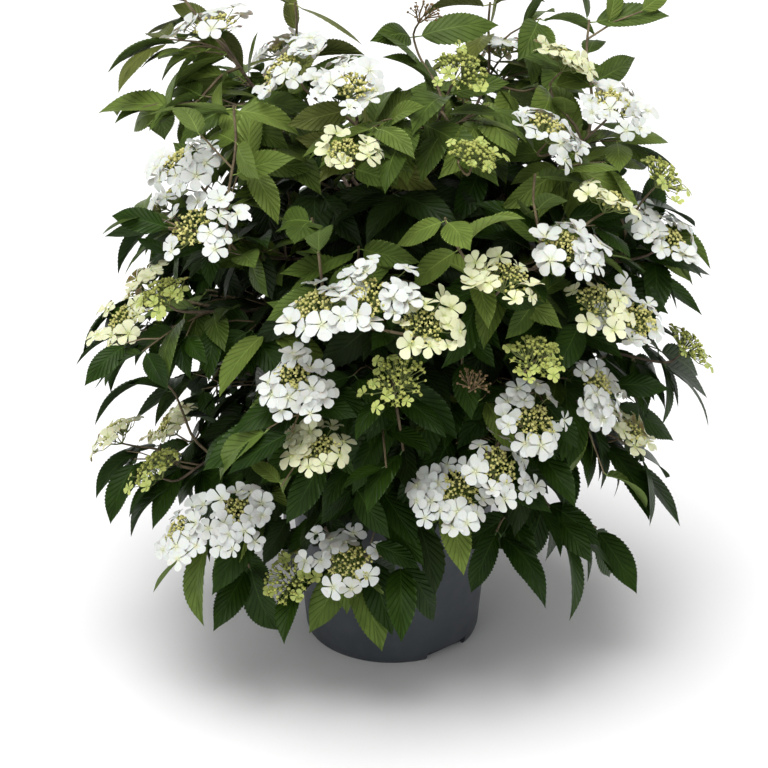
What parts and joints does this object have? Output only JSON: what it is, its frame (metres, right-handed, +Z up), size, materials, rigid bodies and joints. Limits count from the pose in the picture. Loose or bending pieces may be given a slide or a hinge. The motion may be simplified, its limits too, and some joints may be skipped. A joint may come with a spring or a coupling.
{
  "type": "potted viburnum",
  "caption": "Rounded flowering viburnum shrub with flat lacecap flower heads and drooping toothed leaves, growing in a plain round nursery pot.",
  "frame": {"origin": "centre of the pot's flat underside", "axes": "+Z up along the pot's axis, -Y towards the front of the plant, +X to the right seen from the front"},
  "size_m": [0.7259, 0.7186, 0.7956],
  "materials": {
    "pot_plastic": "matte, dark blue-grey",
    "compost": "rough, crumbly",
    "bark": "rough brown bark",
    "foliage": "glossy green leaves with white and cream flower heads"
  },
  "bodies": {
    "root": {"back_low_1": "foliage", "back_low_2": "foliage", "back_low_3": "foliage", "back_mid_1": "foliage", "back_mid_2": "foliage", "back_mid_3": "foliage", "back_top_1": "foliage", "back_top_2": "foliage", "bough_back_low_1": "bark", "bough_back_low_2": "bark", "bough_back_low_3": "bark", "bough_back_mid_1": "bark", "bough_back_mid_2": "bark", "bough_back_mid_3": "bark", "bough_back_top_1": "bark", "bough_back_top_2": "bark", "bough_far_right": "bark", "bough_front": "bark", "bough_front_left": "bark", "bough_front_low": "bark", "bough_front_right": "bark", "bough_left": "bark", "bough_left_low": "bark", "bough_low_left": "bark", "bough_low_right": "bark", "bough_pot_front": "bark", "bough_pot_right": "bark", "bough_right": "bark", "bough_right_front": "bark", "bough_right_low": "bark", "bough_right_upper": "bark", "bough_top": "bark", "bough_top_front": "bark", "bough_top_left": "bark", "bough_top_right": "bark", "bough_upper_left": "bark", "far_right": "foliage", "front": "foliage", "front_left": "foliage", "front_low": "foliage", "front_right": "foliage", "left": "foliage", "left_low": "foliage", "low_left": "foliage", "low_right": "foliage", "pot": "pot_plastic", "pot_front": "foliage", "pot_right": "foliage", "right": "foliage", "right_front": "foliage", "right_low": "foliage", "right_upper": "foliage", "soil": "compost", "top": "foliage", "top_front": "foliage", "top_left": "foliage", "top_right": "foliage", "trunk": "bark", "upper_left": "foliage"}
  },
  "joints": []
}
